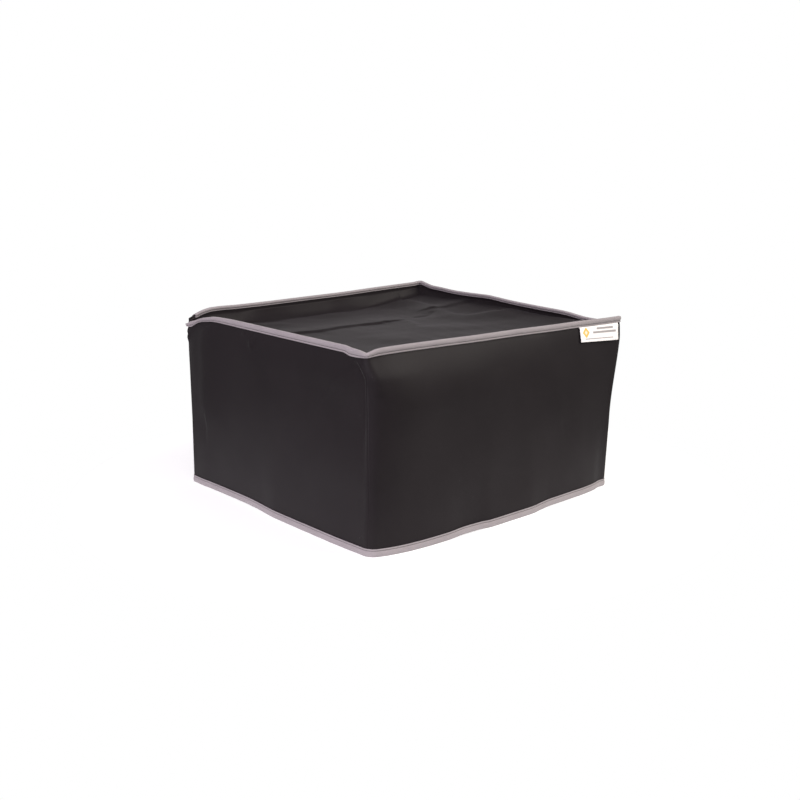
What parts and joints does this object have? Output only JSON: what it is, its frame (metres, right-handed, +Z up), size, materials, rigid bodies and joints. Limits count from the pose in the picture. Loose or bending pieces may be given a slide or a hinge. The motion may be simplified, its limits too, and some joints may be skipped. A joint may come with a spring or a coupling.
{
  "type": "printer dust cover",
  "caption": "Soft box-shaped dust cover for a desktop printer, open underneath, with a sunken top panel, grey binding tape round the top and the hem, and a hanging woven label.",
  "frame": {"origin": "middle of the cover's footprint, on the desk that the hem stands on", "axes": "+X along the wider side, towards the label's end; -Y is the front, where the label hangs; +Z up"},
  "size_m": [0.4878, 0.4666, 0.273],
  "materials": {
    "black_nylon": "satin",
    "grey_binding_tape": "matte",
    "grey_thread": "matte",
    "black_thread": "matte",
    "white_label": "satin"
  },
  "bodies": {
    "cover": {"top_panel": "black_nylon", "front_wall": "black_nylon", "right_wall": "black_nylon", "back_wall": "black_nylon", "left_wall": "black_nylon", "top_binding": "grey_binding_tape", "hem_binding": "grey_binding_tape", "top_outer_thread": "grey_thread", "top_inner_thread": "grey_thread", "hem_outer_thread": "grey_thread", "hem_inner_thread": "grey_thread", "front_left_seam_thread": "black_thread", "front_right_seam_thread": "black_thread", "back_right_seam_thread": "black_thread", "back_left_seam_thread": "black_thread"},
    "label": {"label": "white_label"}
  },
  "joints": [
    {"name": "label_lift", "type": "hinge", "parent": "cover", "child": "label", "pos_m": [0.19825, -0.21513, 0.24978], "axis": [-0.9988, 0, 0.0495], "range_deg": [0, 120]}
  ]
}
